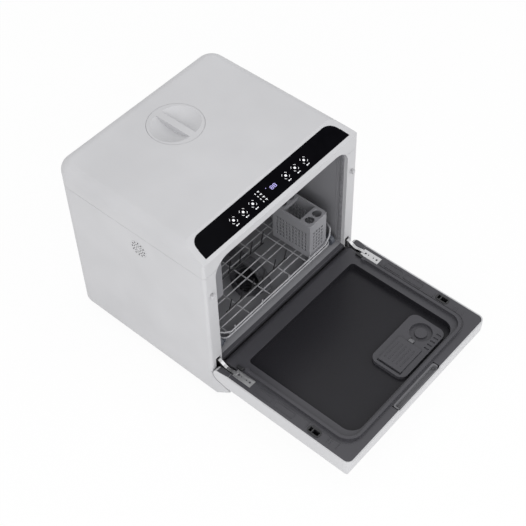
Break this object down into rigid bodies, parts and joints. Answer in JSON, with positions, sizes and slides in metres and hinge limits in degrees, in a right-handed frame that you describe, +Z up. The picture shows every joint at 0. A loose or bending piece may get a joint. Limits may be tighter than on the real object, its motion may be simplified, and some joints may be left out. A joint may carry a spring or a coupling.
{
  "type": "countertop dishwasher",
  "caption": "Countertop dishwasher with a drop-down door, wire rack on rollers, cutlery basket, spray arm and a top fill cap for its own water tank.",
  "frame": {"origin": "centre of the base of the bounding box at rest, on the surface the feet stand on", "axes": "+Z up, -Y the side the door opens towards, +X to the right as seen by someone facing the door"},
  "size_m": [0.42, 0.702, 0.388],
  "materials": {
    "white_shell": "smooth moulded pale grey plastic",
    "dark_plastic": "fine satin dark grey plastic",
    "black_plastic": "matt black plastic",
    "grey_plastic": "satin mid grey plastic",
    "black_glass": "glossy black glass-like strip",
    "rubber": "soft black rubber",
    "seal_rubber": "grey sealing rubber",
    "coated_wire": "grey coated steel wire",
    "plain_steel": "plain sheet steel",
    "tank_plastic": "milky plastic",
    "circuit": "green circuit board"
  },
  "bodies": {
    "cabinet": {"top_cover": "white_shell", "outer_shell": "white_shell", "rear_cover": "white_shell", "base_pan": "grey_plastic", "feet": "rubber", "control_glass": "black_glass", "control_board": "circuit", "fill_funnel": "grey_plastic", "water_tank": "tank_plastic", "tub": "dark_plastic", "door_gasket": "seal_rubber", "air_duct": "dark_plastic", "vent_grille": "white_shell", "fan_housing": "black_plastic", "latch_hooks": "white_shell", "hinge_brackets": "plain_steel", "sump": "black_plastic", "wash_pump": "black_plastic", "drain_pump": "black_plastic", "heater": "plain_steel", "riser": "dark_plastic", "filter_plate": "dark_plastic", "power_board": "circuit", "inlet_port": "grey_plastic", "drain_port": "grey_plastic", "cord_gland": "black_plastic", "rear_screws": "plain_steel"},
    "door": {"door_panel": "white_shell", "door_liner": "dark_plastic", "hinge_straps": "plain_steel", "hinge_stops": "black_plastic", "latch_cups": "black_plastic", "handle_grip": "grey_plastic", "dispenser": "dark_plastic"},
    "dispenser_lid": {"dispenser_lid": "dark_plastic"},
    "lid_catch": {"lid_catch": "grey_plastic"},
    "rack": {"rack_frame": "coated_wire", "rack_left": "coated_wire", "rack_right": "coated_wire", "rack_back": "coated_wire", "rack_front": "coated_wire", "plate_tines": "black_plastic", "bowl_tines": "black_plastic", "roller_clips": "grey_plastic"},
    "cutlery_basket": {"cutlery_basket": "grey_plastic"},
    "spray_arm": {"spray_arm": "dark_plastic"},
    "fan_wheel": {"fan_wheel": "black_plastic"},
    "filter_cup": {"filter_cup": "black_plastic"},
    "cap_seal": {"cap_seal": "rubber"},
    "fill_cap": {"fill_cap": "white_shell"},
    "roller_front_left": {"roller_front_left": "grey_plastic"},
    "roller_front_right": {"roller_front_right": "grey_plastic"},
    "roller_middle_left": {"roller_middle_left": "grey_plastic"},
    "roller_middle_right": {"roller_middle_right": "grey_plastic"},
    "roller_rear_left": {"roller_rear_left": "grey_plastic"},
    "roller_rear_right": {"roller_rear_right": "grey_plastic"}
  },
  "joints": [
    {"name": "door_hinge", "type": "hinge", "parent": "cabinet", "child": "door", "pos_m": [0, -0.0465, 0.0695], "axis": [1, 0, 0], "range_deg": [-90, 0]},
    {"name": "rack_slide", "type": "slide", "parent": "cabinet", "child": "rack", "axis": [0, -1, 0], "range_m": [0, 0.276]},
    {"name": "basket_lift", "type": "slide", "parent": "rack", "child": "cutlery_basket", "axis": [0, 0, 1], "range_m": [0, 0.12]},
    {"name": "spray_spin", "type": "hinge", "parent": "cabinet", "child": "spray_arm", "pos_m": [0.02, 0.127, 0.08], "axis": [0, 0, 1], "continuous": true},
    {"name": "fan_spin", "type": "hinge", "parent": "cabinet", "child": "fan_wheel", "pos_m": [-0.2, 0.132, 0.302], "axis": [1, 0, 0], "continuous": true},
    {"name": "filter_turn", "type": "hinge", "parent": "cabinet", "child": "filter_cup", "pos_m": [0.005, 0.066, 0.06], "axis": [0, 0, 1], "range_deg": [-60, 0]},
    {"name": "cap_lift", "type": "slide", "parent": "cabinet", "child": "cap_seal", "axis": [0, 0, 1], "range_m": [0, 0.04]},
    {"name": "cap_turn", "type": "hinge", "parent": "cap_seal", "child": "fill_cap", "pos_m": [0.003, 0.235, 0.38], "axis": [0, 0, 1], "range_deg": [0, 90]},
    {"name": "lid_hinge", "type": "hinge", "parent": "door", "child": "dispenser_lid", "pos_m": [0.0086, -0.275, 0.0802], "axis": [0, 1, 0], "range_deg": [-100, 0]},
    {"name": "catch_slide", "type": "slide", "parent": "door", "child": "lid_catch", "axis": [1, 0, 0], "range_m": [0, 0.0025]},
    {"name": "roll_front_left", "type": "hinge", "parent": "rack", "child": "roller_front_left", "pos_m": [-0.165, -0.004, 0.0978], "axis": [1, 0, 0], "range_deg": [0, 1298]},
    {"name": "roll_front_right", "type": "hinge", "parent": "rack", "child": "roller_front_right", "pos_m": [0.165, -0.004, 0.0978], "axis": [1, 0, 0], "range_deg": [0, 1298]},
    {"name": "roll_middle_left", "type": "hinge", "parent": "rack", "child": "roller_middle_left", "pos_m": [-0.165, 0.081, 0.0978], "axis": [1, 0, 0], "range_deg": [0, 1298]},
    {"name": "roll_middle_right", "type": "hinge", "parent": "rack", "child": "roller_middle_right", "pos_m": [0.165, 0.081, 0.0978], "axis": [1, 0, 0], "range_deg": [0, 1298]},
    {"name": "roll_rear_left", "type": "hinge", "parent": "rack", "child": "roller_rear_left", "pos_m": [-0.165, 0.247, 0.0978], "axis": [1, 0, 0], "range_deg": [0, 1298]},
    {"name": "roll_rear_right", "type": "hinge", "parent": "rack", "child": "roller_rear_right", "pos_m": [0.165, 0.247, 0.0978], "axis": [1, 0, 0], "range_deg": [0, 1298]}
  ],
  "couplings": [
    {"joint": "roll_front_left", "follows": "rack_slide", "rad_per_m": 82},
    {"joint": "roll_front_right", "follows": "rack_slide", "rad_per_m": 82},
    {"joint": "roll_middle_left", "follows": "rack_slide", "rad_per_m": 82},
    {"joint": "roll_middle_right", "follows": "rack_slide", "rad_per_m": 82},
    {"joint": "roll_rear_left", "follows": "rack_slide", "rad_per_m": 82},
    {"joint": "roll_rear_right", "follows": "rack_slide", "rad_per_m": 82}
  ]
}
